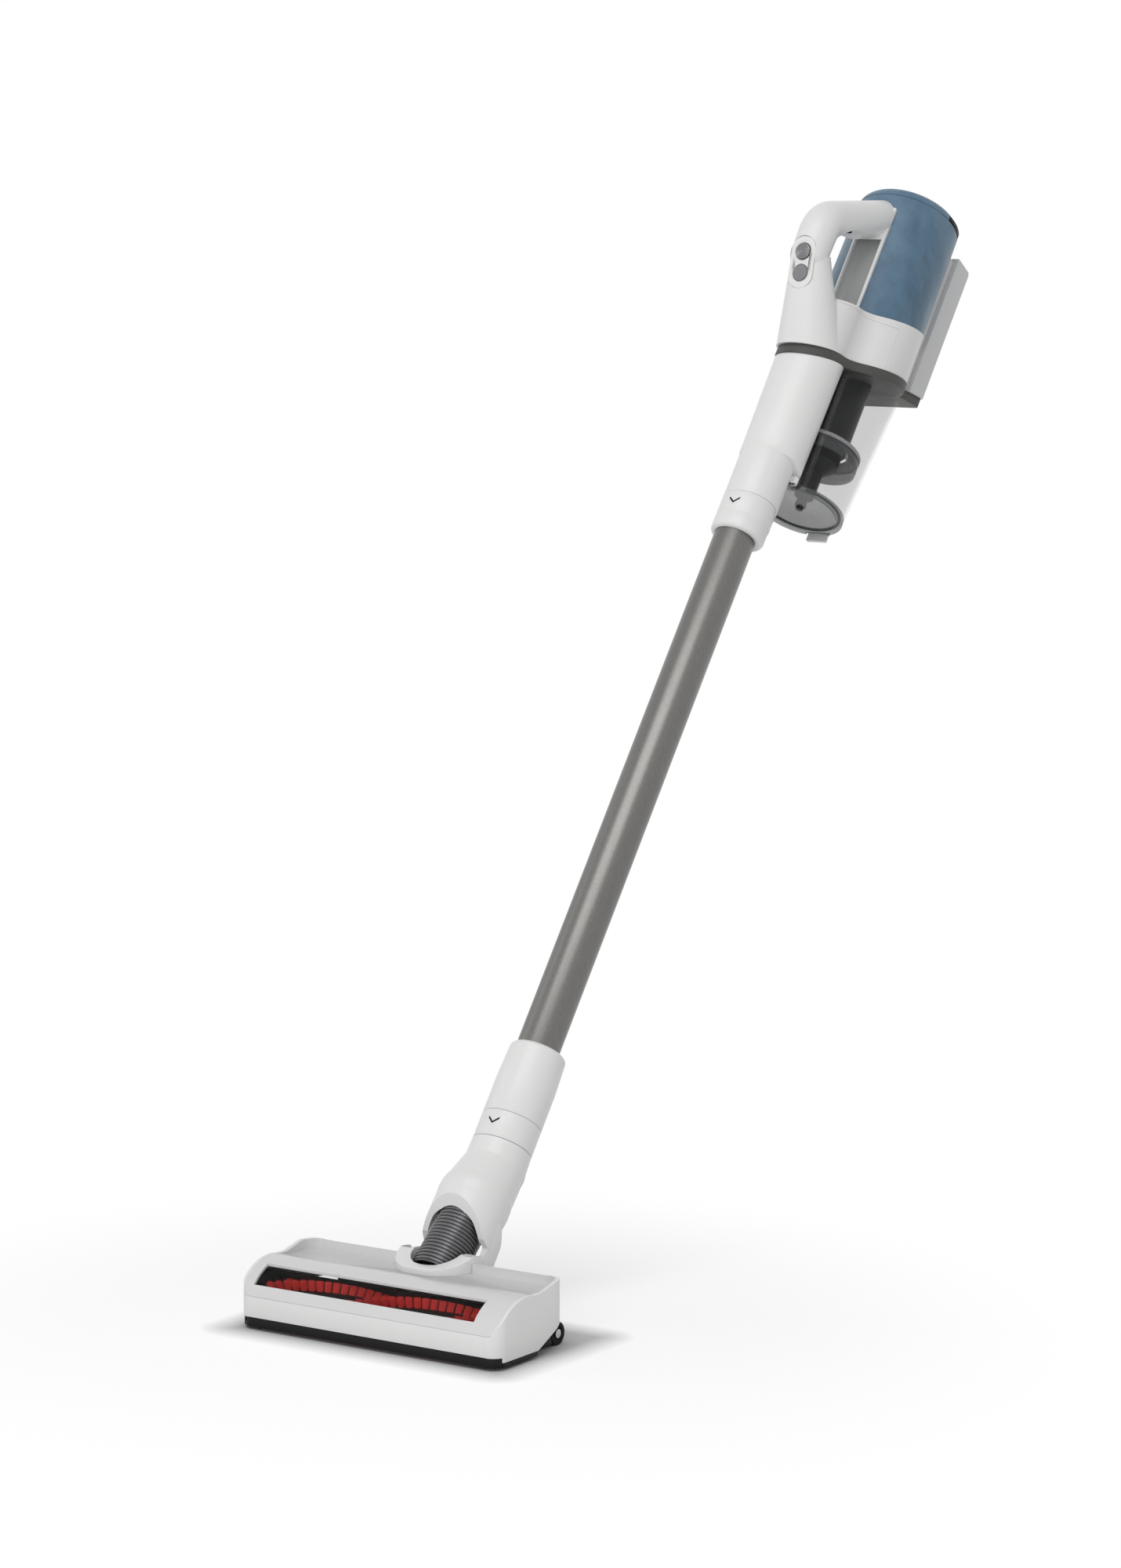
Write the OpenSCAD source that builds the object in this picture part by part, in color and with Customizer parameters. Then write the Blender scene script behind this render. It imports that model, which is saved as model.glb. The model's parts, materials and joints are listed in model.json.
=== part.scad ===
// Cordless stick vacuum cleaner: floor head, neck, wand and handheld unit, in millimetres.
// The floor is z = 0. The origin is on the floor under the middle of the floor head, front is -Y.
// Parts above the neck are drawn along the wand: x sideways, y behind the wand, z up the wand,
// measured from the neck's tilt axis.

/* [Floor head] */
// full width of the floor head
head_w = 245; // [230:1:260]
// depth from the front face to the rear rim
head_d = 95.5; // [93:0.5:97]
// gap under the sole
sole_gap = 2.5; // [1.5:0.1:3.5]
// radius of the rear wheels
wheel_r = 9; // [8:0.1:9.5]
// radius of the front rollers
roller_r = 4; // [3.5:0.1:4.2]
// radius of the brush over its tufts
brush_r = 19.8; // [18:0.1:20]
// radius of the brush core
core_r = 12; // [10:0.5:14]

/* [Neck and wand] */
// lean of the wand from upright, in degrees
lean_angle = 36.72; // [30:0.01:40]
// outer radius of the wand tube
tube_r = 17.5; // [16.5:0.1:18]
// wall of the wand tube
tube_wall = 1.2; // [1:0.1:1.6]
// outer radius of the lower connector
socket_r = 24.4; // [23.5:0.1:25]
// height of the upper connector's lower end above the tilt axis
ring_z = 685; // [660:1:700]

/* [Handheld] */
// radius of the motor housing at its foot
motor_shell_r = 47; // [45:0.1:48]
// distance of the motor and bin axis behind the wand axis
bin_y = 70.5; // [69:0.1:72]
// radius of the bin at its mouth
bin_top_r = 46; // [44:0.1:46.4]
// radius of the bin at its door
bin_low_r = 39.2; // [38:0.1:40]
// radius of the handle bar
grip_r = 16.5; // [15:0.1:17.5]
// diameter of the two push buttons
button_d = 14.4; // [12:0.1:15]

/* [Part] */
// the sub-part to draw

/* [Hidden] */
$fn = 96;
gap = 0.3;
fit = 0.05;
ribs = 21;
rib_p = 3.2;
wall = 2.4;
front_y = -52;
rear_y = front_y + head_d;
half_w = head_w / 2;
face_low_z = 10;
face_top_z = 26.5;
arc_y = -12;
arc_z = 5.2;
arc_r = 45.3;
tray_z = 46;
rim_z = 52;
cap_in = 112;
win_l = -112;
win_r = 97;
brush_y = -27;
brush_z = 20.3;
motor_y = 12;
motor_z = 27;
pulley_x = 103;
belt_a = 11.35;
belt_b = 5.35;
belt_t = 1.3;
belt_w = 6;
wheel_y = 42.8;
wheel_x = 104;
wheel_w = 8;
roller_y = -46;
roller_z = roller_r;
roller_l = 11;
roller_xl = -116;
roller_xr = 96;
pivot_y = 54.6;
pivot_z = 29.7;
arm_in = 25.3;
arm_out = 31;
arm_r = 11.8;
bulge_r = 24.4;
hose_y = 43.4;
hose_a = 11.3;
ring_r = 34.4;
notch_x = 33.4;
notch_y = 40.6;
neck_top = 119;
collar_low = 119.6;
collar_top = 205;
seam_a = 174.5;
seam_b = 142.3;
col_y = 2.7;
tube_low = 132;
tube_top = 716;
ring_h = 15;
mark_top = 719.5;
duct_low = mark_top;
duct_mid = 764;
duct_y = 9.2;
duct_r = 28;
tilt = 18.4;
slope = tan(tilt);
rim_low = 863.5;
rim_t = 8.7;
deck = 920.6;
seam_tilt = 13.7;
seam_z = deck - 3;
front_r = 27.8;
front_c = 7.6;
back_r = 47.8;
waist_r = 25;
lid_low = 1052.2;
lid_top = 1061.8;
lid_round = 9.5;
shell_top_r = motor_shell_r - 1.6;
spine_x = 15.4;
bin_low = 761.5;
bin_wall = 2;
shroud_r = 21.1;
band_r = 34.6;
band_low = 805;
band_h = 15;
post_r = 8.8;
pack_x = 31;
pack_in = 118.2;
pack_out = 144;
pack_top = 1050;
hinge_y = 30.6;
hinge_z = 758;
leg_r = 15.4;
leg_y = -45.4;
back_flat = 41;
mouth_y = 7.4;
mouth_z = 35.3;
mouth_r = 24;
bend_r = 25;
flare_a = 34.7;
flare_r = 29;
flare_l = 85.2;
leg_low = 937.5;
bar_angle = 53.7;
bar_z0 = 1013.8;
bar_y0 = 10.3;
face_tilt = 21.8;
btn_up_z = 934.7;
btn_up_y = -55;
btn_lo_z = 917.7;
btn_lo_y = -48.2;
btn_travel = 0.9;
latch_travel = 2.5;

// drawing along the wand
module on_wand() {
  translate([0, pivot_y, pivot_z])
    rotate([-lean_angle, 0, 0])
      children();
}

// a flat outline in y and z, drawn out along x
module along_x(x0, x1) {
  translate([x0, 0, 0])
    rotate([90, 0, 90])
      linear_extrude(x1 - x0)
        children();
}

module rod_x(x0, x1, y, z, r) {
  translate([x0, y, z])
    rotate([0, 90, 0])
      cylinder(h = x1 - x0, r = r);
}

module box(a, b) {
  translate(a)
    cube([b[0] - a[0], b[1] - a[1], b[2] - a[2]]);
}

module tube(r, ri, h) {
  difference() {
    cylinder(h = h, r = r);
    translate([0, 0, -1])
      cylinder(h = h + 2, r = ri);
  }
}

// ---- floor head ----

// the head seen from the side: a round front that runs into the tray and the rear rim
module head_side(inset) {
  r = arc_r - inset;
  intersection() {
    union() {
      rod_x(-half_w, half_w, arc_y, arc_z, r);
      along_x(-half_w, half_w)
        polygon([[arc_y, 0], [arc_y, arc_z + r - 0.6], [6, arc_z + r - 1],
          [26, rim_z + 2.4 - inset], [rear_y - 5, rim_z + 2.4 - inset],
          [rear_y - inset, rim_z - 2 - inset], [rear_y - inset, 0]]);
    }
    box([-half_w, front_y + inset, sole_gap + inset], [half_w, rear_y - inset, 60]);
  }
}

// plan of the head, with rounded corners
module head_plan(inset) {
  rf = 12 - inset;
  rr = 20 - inset;
  hw = half_w - inset;
  translate([0, 0, -1])
    union() {
      for (s = [-1, 1])
        translate([s * (hw - rf), front_y + inset + rf, 0])
          cylinder(h = 80, r = rf);
      for (s = [-1, 1])
        translate([s * (hw - rr), rear_y - inset - rr, 0])
          cylinder(h = 80, r = rr);
      box([-hw, front_y + inset + rf, 0], [hw, rear_y - inset - rr, 80]);
      box([-hw + rr, front_y + inset + rf, 0], [hw - rr, rear_y - inset, 80]);
      box([-hw + rf, front_y + inset, 0], [hw - rf, front_y + inset + rf + 1, 80]);
    }
}

module head_solid(inset) {
  intersection() {
    head_side(inset);
    head_plan(inset);
  }
}

// rising cut under the rear of the end caps
module tail_cut(x0, x1) {
  along_x(x0, x1)
    polygon([[0, -1], [0, 5.4], [38, 23.7], [60, 34], [60, -1]]);
}

// step in the top of the end caps, where the bezel and the tray lie over them
module cap_step() {
  intersection() {
    translate([0, -3.4, 0])
      head_plan(3);
    arc_shell(-half_w - 1, half_w + 1, arc_r + 2, arc_r - 2.6, front_y - 2, -9.7);
    box([-half_w - 1, -80, face_top_z - 0.1], [half_w + 1, 80, 80]);
  }
  intersection() {
    head_plan(3);
    box([-half_w - 1, -9.9, tray_z - 3.5], [half_w + 1, 80, 80]);
  }
}

module end_cap(s) {
  x0 = s > 0 ? cap_in : -half_w;
  x1 = s > 0 ? half_w : -cap_in;
  difference() {
    union() {
      difference() {
        intersection() {
          head_solid(0);
          box([x0, -80, 0], [x1, 80, 80]);
        }
        intersection() {
          head_solid(wall);
          box([x0 - 5, -80, 0], [x1 + 5, 80, 80]);
        }
        box([x0 - 5, front_y - 1, 0], [x1 + 5, front_y + 8, face_low_z]);
        tail_cut(x0 - 5, x1 + 5);
        box([x0 - 5, front_y + 8, 0], [x1 + 5, 60, 6.2]);
        cap_step();
      }
      rod_x(s > 0 ? cap_in + 1 : -half_w + 1.4, s > 0 ? half_w - 1.4 : -cap_in - 1, brush_y,
        brush_z, 9.2);
    }
    rod_x(s > 0 ? cap_in : -half_w + wall, s > 0 ? half_w - wall : -cap_in, brush_y, brush_z,
      7.05);
  }
}

module end_cap_left() {
  color([0.93, 0.93, 0.93])
    end_cap(-1);
}

module end_cap_right() {
  color([0.93, 0.93, 0.93])
    end_cap(1);
}

// front wall between the end caps
module head_front() {
  color([0.94, 0.94, 0.94])
    box([-cap_in, front_y, face_low_z], [cap_in, front_y + wall, face_top_z - 0.2]);
}

// two flats that bound the front arc
module arc_shell(x0, x1, ro, ri, ya, yb) {
  intersection() {
    difference() {
      rod_x(x0, x1, arc_y, arc_z, ro);
      rod_x(x0 - 1, x1 + 1, arc_y, arc_z, ri);
    }
    box([x0, ya, face_top_z - 4], [x1, yb, 60]);
  }
}

module bezel() {
  color([0.72, 0.73, 0.74])
    difference() {
      intersection() {
        arc_shell(-half_w, half_w, arc_r, arc_r - 2.2, front_y - 1, -10);
        translate([0, -3.4, 0])
          head_plan(3.1);
      }
      box([-half_w, front_y - 1, 0], [half_w, front_y + wall + 0.2, face_top_z]);
      box([win_l + 1.5, front_y + 5.5, 0], [win_r, -28, 60]);
    }
}

module brush_window() {
  color([0.08, 0.08, 0.09, 0.6])
    difference() {
      arc_shell(win_l, win_r + 6, arc_r - 2.4, arc_r - 3.8, front_y + 3.2, -24);
      box([-200, -80, 0], [200, front_y + wall, 60]);
    }
}

module top_tray() {
  color([0.78, 0.79, 0.8, 0.85])
    difference() {
      intersection() {
        head_solid(0);
        union() {
          box([-cap_in + 0.2, -9.8, tray_z - 3.4], [cap_in - 0.2, 80, 80]);
          intersection() {
            head_plan(3.1);
            box([-half_w, -9.8, tray_z - 3.4], [half_w, 60, 70]);
          }
        }
      }
      tray_hollow();
      arm_notches(tray_z - 10, 80, 0);
      box([-ring_r - gap, notch_y - 4, tray_z], [ring_r + gap, 80, 80]);
      hose_well(0, 23, 10);
    }
}

// clear space on each side where the neck's arms swing
module arm_notches(z0, z1, d) {
  for (s = [-1, 1])
    box([s > 0 ? bulge_r + 0.2 - d : -notch_x - d, notch_y - d, z0],
      [s > 0 ? notch_x + d : -bulge_r - 0.2 + d, 100, z1]);
}

// the hollow of the tray above its floor
module tray_hollow() {
  intersection() {
    head_plan(4.4);
    box([-half_w, -5, tray_z], [half_w, 80, tray_z + 20]);
  }
}

// long well that clears the leaning hose
module hose_well(z, r, l) {
  translate([0, hose_y, z])
    union() {
      cylinder(h = 80, r = r);
      translate([0, l, 0])
        cylinder(h = 80, r = r);
      translate([-r, 0, 0])
        cube([2 * r, l, 80]);
    }
}

// rear wall, hose inlet and the two neck bearings
module head_rear() {
  color([0.9, 0.9, 0.9])
    difference() {
      union() {
        difference() {
          intersection() {
            head_solid(0);
            box([-cap_in + 0.2, 4, 6.2], [cap_in - 0.2, 80, tray_z - 3.6]);
          }
          intersection() {
            head_solid(wall);
            box([-cap_in - 1, -80, 0], [cap_in + 1, 80, 80]);
          }
        }
        box([-notch_x - wall, notch_y - wall, 6.2], [notch_x + wall, rear_y, tray_z - 3.6]);
        box([-bulge_r, notch_y, 6.2], [bulge_r, pivot_y, tray_z - 3.6]);
        translate([0, pivot_y, 6.2])
          cylinder(h = tray_z - 9.8, r = bulge_r);
      }
      arm_notches(0, 80, 0);
      tail_cut(-cap_in - 1, -wheel_x + 8);
      tail_cut(wheel_x - 8, cap_in + 1);
      hose_well(8.6, 21.3, 9);
      rod_x(-40, 40, pivot_y, pivot_z, 4 + fit);
    }
}

module head_base() {
  color([0.05, 0.05, 0.055])
    difference() {
      intersection() {
        head_plan(0.4);
        union() {
          box([-half_w + 0.4, front_y + 8.2, sole_gap], [half_w - 0.4, 1, 6]);
          box([-cap_in, 0, sole_gap], [cap_in, rear_y - 0.4, 6]);
          for (s = [-1, 1])
            wheel_arm(s);
        }
      }
      box([win_l + 4, brush_y - 23, 0], [win_r - 2, brush_y + 23, 20]);
      for (s = [-1, 1])
        wheel_room(s);
      box([-notch_x - 3, notch_y - 3, 0], [notch_x + 3, 80, 20]);
      for (x = [roller_xl, roller_xr])
        box([x - 0.8, roller_y - 6, 0], [x + roller_l + 0.8, roller_y + roller_r + 0.8, 20]);
    }
}

module wheel_arm(s) {
  along_x(s > 0 ? cap_in - 16 : -cap_in, s > 0 ? cap_in : -cap_in + 16)
    polygon([[2, sole_gap], [2, 5.6], [37, 22.6], [46, 20], [rear_y - 0.4, 14],
      [rear_y - 0.4, sole_gap + 2], [30, sole_gap]]);
}

module wheel_room(s) {
  x0 = s > 0 ? wheel_x - 0.5 : -wheel_x - wheel_w - 0.5;
  rod_x(x0, x0 + wheel_w + 1 + 4, wheel_y, wheel_r, wheel_r + 0.8);
  rod_x(s > 0 ? wheel_x - 5 : -wheel_x - 4, s > 0 ? wheel_x + 5 : -wheel_x + 5, wheel_y, wheel_r,
    2 + fit);
}

module wheel(s) {
  x0 = s > 0 ? wheel_x : -wheel_x - wheel_w;
  difference() {
    rod_x(x0, x0 + wheel_w, wheel_y, wheel_r, wheel_r);
    rod_x(x0 - 1, x0 + wheel_w + 1, wheel_y, wheel_r, 2 + fit);
    rod_x(s > 0 ? x0 + wheel_w - 1.2 : x0 - 1, s > 0 ? x0 + wheel_w + 1 : x0 + 1.2, wheel_y,
      wheel_r, 5.4);
  }
}

module wheel_left() {
  color([0.07, 0.07, 0.07])
    wheel(-1);
}

module wheel_right() {
  color([0.07, 0.07, 0.07])
    wheel(1);
}

// stub axles of the wheels, each with a light hub cap, and pins of the rollers
module axles() {
  color([0.55, 0.55, 0.57]) {
    for (s = [-1, 1]) {
      rod_x(s > 0 ? wheel_x - 5 : -wheel_x - wheel_w - 0.2,
        s > 0 ? wheel_x + wheel_w + 0.2 : -wheel_x + 5, wheel_y, wheel_r, 2);
      rod_x(s > 0 ? wheel_x + wheel_w - 0.9 : -wheel_x - wheel_w - 0.2,
        s > 0 ? wheel_x + wheel_w + 0.2 : -wheel_x - wheel_w + 0.9, wheel_y, wheel_r, 3.4);
    }
    for (x = [roller_xl, roller_xr])
      rod_x(x - 0.8, x + roller_l + 0.8, roller_y, roller_z, 1.25);
  }
}

module roller(x) {
  difference() {
    rod_x(x, x + roller_l, roller_y, roller_z, roller_r);
    rod_x(x - 1, x + roller_l + 1, roller_y, roller_z, 1.25 + fit);
  }
}

module roller_left() {
  color([0.08, 0.08, 0.08])
    roller(roller_xl);
}

module roller_right() {
  color([0.08, 0.08, 0.08])
    roller(roller_xr);
}

// black strip along the foot of the front wall
module front_strip() {
  color([0.04, 0.04, 0.045])
    difference() {
      intersection() {
        head_plan(0.6);
        box([-half_w + 1, front_y + 0.6, sole_gap], [half_w - 1, front_y + 8, face_low_z - 0.2]);
      }
      for (x = [roller_xl, roller_xr])
        box([x - 0.8, roller_y - roller_r - 0.7, 0], [x + roller_l + 0.8, front_y + 12,
          2 * roller_r + 0.7]);
    }
}

module hose_collar() {
  color([0.95, 0.95, 0.95])
    difference() {
      intersection() {
        translate([0, 45, tray_z])
          tube(ring_r, 21.9, 20);
        along_x(-ring_r, ring_r)
          polygon([[12, 40], [12, 50.4], [24, 52.2], [34, 55.6], [42, 58.4], [50, 57.4],
            [78, 48.6], [78, 40]]);
      }
      hose_well(40, 21.8, 24);
      arm_notches(0, 80, 0);
      for (s = [-1, 1])
        box([s > 0 ? bulge_r + 0.1 : -60, 56, 0], [s > 0 ? 60 : -bulge_r - 0.1, 100, 80]);
    }
}

module brush_core() {
  color([0.35, 0.35, 0.36])
    difference() {
      union() {
        rod_x(-106, 95, brush_y, brush_z, core_r);
        rod_x(-116, 109, brush_y, brush_z, 3);
      }
      for (k = [0 : 29])
        tuft_socket(k);
    }
}

function tuft_x(k) = -101 + k * 6.6;
function tuft_a(k) = -0.968 * (tuft_x(k) + 61);

module tuft_socket(k) {
  for (s = [0 : 90 : 270])
    translate([tuft_x(k), brush_y, brush_z])
      rotate([tuft_a(k) + s, 0, 0])
        box([-2.6, -2, core_r - 2.5], [2.6, 2, core_r + 2]);
}

// four spiral rows of tufts
module brush_tufts() {
  color([0.78, 0.1, 0.12])
    for (k = [0 : 29], s = [0 : 90 : 270])
      translate([tuft_x(k), brush_y, brush_z])
        rotate([tuft_a(k) + s, 0, 0])
          box([-2.5, -1.9, core_r - 2.4], [2.5, 1.9, brush_r - 0.1]);
}

module brush_bearings() {
  color([0.6, 0.6, 0.62])
    for (x = [-116, 113])
      difference() {
        rod_x(x, x + 5, brush_y, brush_z, 7);
        rod_x(x - 1, x + 6, brush_y, brush_z, 3 + fit);
      }
}

module brush_pulley() {
  color([0.12, 0.12, 0.12])
    difference() {
      rod_x(pulley_x - 4, pulley_x + 4, brush_y, brush_z, 11);
      rod_x(pulley_x - 6, pulley_x + 6, brush_y, brush_z, 3);
    }
}

module brush_motor() {
  color([0.5, 0.5, 0.52])
    difference() {
      union() {
        rod_x(38, 92, motor_y, motor_z, 14);
        rod_x(92, pulley_x + 6, motor_y, motor_z, 1.5);
      }
      rod_x(37, 40, motor_y, motor_z, 6);
    }
}

module motor_pulley() {
  color([0.75, 0.72, 0.5])
    difference() {
      rod_x(pulley_x - 4, pulley_x + 4, motor_y, motor_z, 5);
      rod_x(pulley_x - 6, pulley_x + 6, motor_y, motor_z, 1.5 + fit);
    }
}

function belt_len() = sqrt(pow(motor_y - brush_y, 2) + pow(motor_z - brush_z, 2));
function belt_rise() = atan2(motor_z - brush_z, motor_y - brush_y);
function belt_turn() = acos((belt_a - belt_b) / belt_len());

module belt_arc(c, r, a0, a1) {
  translate([c, 0, 0])
    rotate([0, 0, a0])
      rotate_extrude(angle = a1 - a0)
        translate([r, 0])
          square([belt_t, belt_w]);
}

// straight run of the belt on one side
module belt_run(s) {
  rotate([0, 0, s * (belt_turn() - 90)])
    translate([-gap, s > 0 ? belt_a + 0.02 : -belt_a - belt_t + 0.02, 0])
      cube([belt_len() * sin(belt_turn()) + 2 * gap, belt_t - 0.04, belt_w]);
}

// toothless band over both pulleys
module drive_belt() {
  a = belt_turn();
  color([0.03, 0.03, 0.03])
    translate([pulley_x - belt_w / 2, brush_y, brush_z])
      rotate([90, 0, 90])
        rotate([0, 0, belt_rise()])
          union() {
            belt_arc(0, belt_a, a, 360 - a);
            belt_arc(belt_len(), belt_b, -a, a);
            for (s = [-1, 1])
              belt_run(s);
          }
}

// ---- neck ----

// side outline of one arm, from the pin up into the hood
module arm_side() {
  union() {
    circle(r = arm_r);
    polygon([[-arm_r, 0], [-11.2, 9], [-9, 22], [-8.6, 34], [-13, 44], [-19, 50], [-16, 55],
      [-2, 52], [5, 42], [9.4, 32], [arm_r, 20], [arm_r, 0]]);
  }
}

module arms() {
  intersection() {
    difference() {
      along_x(-40, 40)
        arm_side();
      box([-arm_in, -60, -30], [arm_in, 60, 40]);
    }
    translate([0, 0, -20])
      cylinder(h = 100, r = arm_out);
  }
}

// bell of the hood: straight foot, leaning middle, straight neck, flatter at the back
module bell(d) {
  intersection() {
    bell_round(d);
    translate([0, -47.2, 0])
      rotate([-19.5, 0, 0])
        cylinder(h = 160, r = back_flat);
  }
}

module bell_round(d) {
  union() {
    translate([0, -6.6, 10])
      cylinder(h = 59, r1 = arm_out + 0.2 - d, r2 = 29.6 - d);
    translate([0, -6.6, 69])
      sphere(r = 29.75 - d);
    translate([0, -6.6, 69])
      rotate([-16.5, 0, 0])
        cylinder(h = 32.6, r1 = 29.6 - d, r2 = 25.3 - d);
    translate([0, 2.66, 100.2])
      sphere(r = 25.45 - d);
    translate([0, col_y, 100])
      cylinder(h = neck_top - 100, r1 = 25.2 - d, r2 = socket_r - d);
  }
}

module neck_inner() {
  union() {
    intersection() {
      bell(4.6);
      rotate([lean_angle, 0, 0])
        rotate([90, 0, 0])
          translate([0, 0, -22])
            linear_extrude(80)
              union() {
                translate([0, mouth_z])
                  circle(r = mouth_r);
                translate([-mouth_r, -60])
                  square([2 * mouth_r, mouth_z + 60]);
              }
    }
    translate([0, -6.6, 10])
      cylinder(h = 62, r = 21.8);
    translate([0, -6.6, 70])
      rotate([-22, 0, 0])
        cylinder(h = 22, r1 = 21.6, r2 = 19.6);
    rod_x(-arm_in, arm_in, 0, 0, 35);
    translate([0, -19.6, -2])
      rotate([-hose_a, 0, 0])
        cylinder(h = 72, r = 21.3);
    translate([0, 0, 80])
      cylinder(h = 60, r = 20 + fit);
  }
}

// the hood ends in a plane that stands upright at the rest lean
module hood_mouth() {
  rotate([lean_angle, 0, 0])
    along_x(-60, 60)
      polygon([[-100, 90], [mouth_y, 90], [mouth_y, 37.3], [16.4, 19.3], [20, 12], [20, -60],
        [-100, -60]]);
}

module split_rear(t) {
  along_x(-60, 60)
    polygon([[7 + t, 20], [7 + t, 56], [11 + t, 84], [13 + t, 104], [60, 104], [60, 20]]);
}

module neck_hood() {
  color([0.94, 0.94, 0.94])
    on_wand()
      difference() {
        union() {
          difference() {
            intersection() {
              bell(0);
              box([-60, -60, 24], [60, 60, neck_top]);
            }
            hood_mouth();
            split_rear(0);
          }
          difference() {
            arms();
            split_rear(0);
          }
        }
        neck_inner();
        rod_x(-60, 60, 0, 0, 4 + fit);
      }
}

module neck_shell() {
  color([0.86, 0.86, 0.86])
    on_wand()
      difference() {
        intersection() {
          bell(0);
          split_rear(0.3);
          box([-60, -60, 56], [60, 60, 103.8]);
        }
        neck_inner();
      }
}

module pivot_pins() {
  color([0.6, 0.6, 0.62])
    for (s = [-1, 1])
      rod_x(s > 0 ? 20 : -arm_out - 0.4, s > 0 ? arm_out + 0.4 : -20, pivot_y, pivot_z, 4);
}

// ribbed hose between the head and the neck
module hose() {
  color([0.16, 0.16, 0.17])
    on_wand()
      translate([0, -19.6, -2])
        rotate([-hose_a, 0, 0])
          rotate_extrude()
            polygon(concat([for (k = [0 : 2 * ribs]) [k % 2 == 0 ? 20.5 : 19.1, k * rib_p / 2]],
              [[17.9, ribs * rib_p], [17.9, 0]]));
}

// ---- wand ----

module lower_sleeve() {
  color([0.9, 0.9, 0.9])
    on_wand()
      difference() {
        union() {
          translate([0, 0, 90])
            cylinder(h = collar_low - 86, r = 20);
          translate([0, col_y, collar_low])
            cylinder(h = seam_b - collar_low - 0.3, r = socket_r);
        }
        translate([0, 0, 80])
          cylinder(h = 60, r = 16.3);
        translate([0, 0, tube_low - 0.2])
          cylinder(h = 60, r = tube_r);
      }
}

module lower_collar() {
  color([0.92, 0.92, 0.92])
    on_wand()
      difference() {
        union() {
          translate([0, col_y, seam_b])
            cylinder(h = seam_a - seam_b, r = socket_r);
          translate([0, col_y, seam_a])
            cylinder(h = collar_top - 4 - seam_a, r1 = socket_r, r2 = socket_r - 1.2);
          translate([0, col_y, collar_top - 4])
            rotate_extrude()
              union() {
                square([socket_r - 5.2, 4]);
                intersection() {
                  translate([socket_r - 5.2, 0])
                    circle(r = 4);
                  square([socket_r, 4]);
                }
              }
        }
        translate([0, 0, seam_b - 1])
          cylinder(h = 100, r = tube_r);
        box([-7 - gap, 19, 150], [7 + gap, 40, 170]);
      }
}

module wand_tube() {
  color([0.4, 0.4, 0.42])
    on_wand()
      translate([0, 0, tube_low])
        tube(tube_r, tube_r - tube_wall, tube_top - tube_low);
}

module push_key(y, z0) {
  translate([0, y, z0])
    union() {
      box([-7, -3, 0.3], [7, 0, 19.7]);
      for (z = [3.4, 6.4, 9.4, 12.4, 15.4])
        box([-5, -0.5, z], [5, 0.7, z + 1.2]);
    }
}

module lower_button() {
  color([0.55, 0.56, 0.58])
    on_wand()
      push_key(26.6, 150);
}

module end_ring() {
  color([0.94, 0.94, 0.94])
    on_wand()
      difference() {
        translate([0, 2.2, ring_z])
          rotate_extrude()
            union() {
              translate([0, 4])
                square([23, ring_h - 4]);
              square([19, 4.5]);
              translate([19, 4])
                circle(r = 4);
            }
        translate([0, 0, ring_z - 3])
          cylinder(h = 60, r = tube_r);
      }
}

module marked_ring() {
  color([0.92, 0.92, 0.92])
    on_wand()
      difference() {
        translate([0, 2.8, ring_z + ring_h])
          cylinder(h = mark_top - ring_z - ring_h - 0.3, r = 23.2);
        translate([0, 0, ring_z])
          cylinder(h = 60, r = tube_r);
      }
}

module upper_button() {
  color([0.55, 0.56, 0.58])
    on_wand()
      push_key(25.9, 733);
}

// ---- handheld ----

// half space above the rim's slope, starting at height z over the wand axis
module above(z, t = tilt) {
  translate([0, 0, z])
    rotate([t, 0, 0])
      box([-150, -150, 0], [150, 260, 400]);
}

module below(z, t = tilt) {
  translate([0, 0, z])
    rotate([t, 0, 0])
      box([-150, -150, -400], [150, 260, 0]);
}

function waist_y(d) = front_c + (pow(bin_y - front_c, 2) + pow(front_r + d + waist_r - d, 2)
  - pow(back_r + d + waist_r - d, 2)) / (2 * (bin_y - front_c));
function waist_x(d) = sqrt(pow(front_r + waist_r, 2) - pow(waist_y(d) - front_c, 2));

// plan of the body: front round, back round and a concave waist between them, grown by d
module body_plan(d, z0, z1) {
  difference() {
    union() {
      translate([0, front_c, z0])
        cylinder(h = z1 - z0, r = front_r + d);
      translate([0, bin_y, z0])
        cylinder(h = z1 - z0, r = back_r + d);
      translate([0, 0, z0])
        linear_extrude(z1 - z0)
          polygon([[0, front_c], [waist_x(d), waist_y(d)], [0, bin_y], [-waist_x(d), waist_y(d)]]);
    }
    for (s = [-1, 1])
      translate([s * waist_x(d), waist_y(d), z0 - 1])
        cylinder(h = z1 - z0 + 2, r = waist_r - d);
  }
}

module foot_plan(d, z0, z1) {
  union() {
    box([-29 - d, 100, z0], [29 + d, pack_out - 5, z1]);
    box([-24 - d, 100, z0], [24 + d, pack_out + d, z1]);
    for (s = [-1, 1])
      translate([s * (24 + d - d), pack_out - 5, z0])
        cylinder(h = z1 - z0, r = 5 + d);
  }
}

module inlet_duct() {
  color([0.93, 0.93, 0.93])
    on_wand()
      difference() {
        union() {
          translate([0, 3.6, duct_low])
            cylinder(h = duct_mid - duct_low + 1, r = 23.5);
          translate([0, duct_y, duct_mid])
            cylinder(h = 120, r1 = duct_r - 0.6, r2 = duct_r + 1);
        }
        bin_cone(0.8, 750, 930);
        box([-17.2, 27.2, 750], [17.2, 40, 775]);
        above(rim_low - 0.2);
        translate([0, 0, duct_low - 1])
          cylinder(h = 60, r = tube_r);
        difference() {
          translate([0, duct_y, duct_mid + 3])
            cylinder(h = 120, r1 = duct_r - 3, r2 = duct_r - 1.6);
          bin_cone(3.2, 740, 930);
        }
        box([-7 - gap, 18.2, 733], [7 + gap, 40, 753]);
      }
}

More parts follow.
